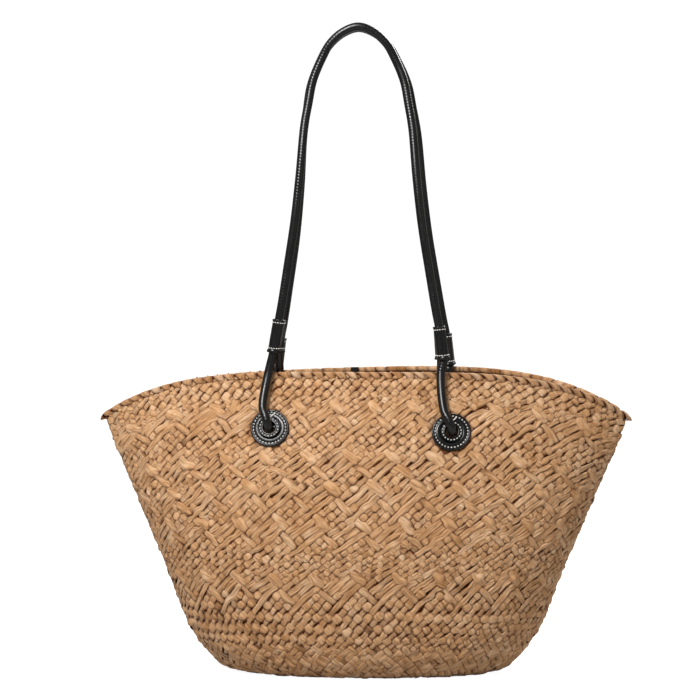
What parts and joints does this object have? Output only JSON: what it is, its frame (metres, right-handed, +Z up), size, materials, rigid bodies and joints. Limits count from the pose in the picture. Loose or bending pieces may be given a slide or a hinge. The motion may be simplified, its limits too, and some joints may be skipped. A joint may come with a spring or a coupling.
{
  "type": "straw basket bag with two rolled leather shoulder handles",
  "caption": "Flared straw basket tote with a plaited wall, a braided rim, two black rolled-leather handles through stitched leather eyelets, and a small closing tab inside.",
  "frame": {"origin": "middle of the base, on the surface the bag stands on", "axes": "+Z up, +X to the right seen from the front, -Y towards the front"},
  "size_m": [0.521, 0.1886, 0.6297],
  "materials": {
    "plaited_straw": "matte plaited straw",
    "rim_straw": "matte braided straw",
    "rolled_leather": "smooth satin",
    "flat_leather": "fine-grained satin"
  },
  "bodies": {
    "root": {"basket": "plaited_straw", "rim_braid": "rim_straw", "handle_front": "rolled_leather", "handle_back": "rolled_leather", "sleeve_front_left": "rolled_leather", "sleeve_front_right": "rolled_leather", "sleeve_back_left": "rolled_leather", "sleeve_back_right": "rolled_leather", "eyelet_ring_front_left": "flat_leather", "eyelet_ring_front_right": "flat_leather", "eyelet_ring_back_left": "flat_leather", "eyelet_ring_back_right": "flat_leather", "eyelet_collar_front_left": "flat_leather", "eyelet_collar_front_right": "flat_leather", "eyelet_collar_back_left": "flat_leather", "eyelet_collar_back_right": "flat_leather", "closing_tab": "flat_leather"}
  },
  "joints": []
}
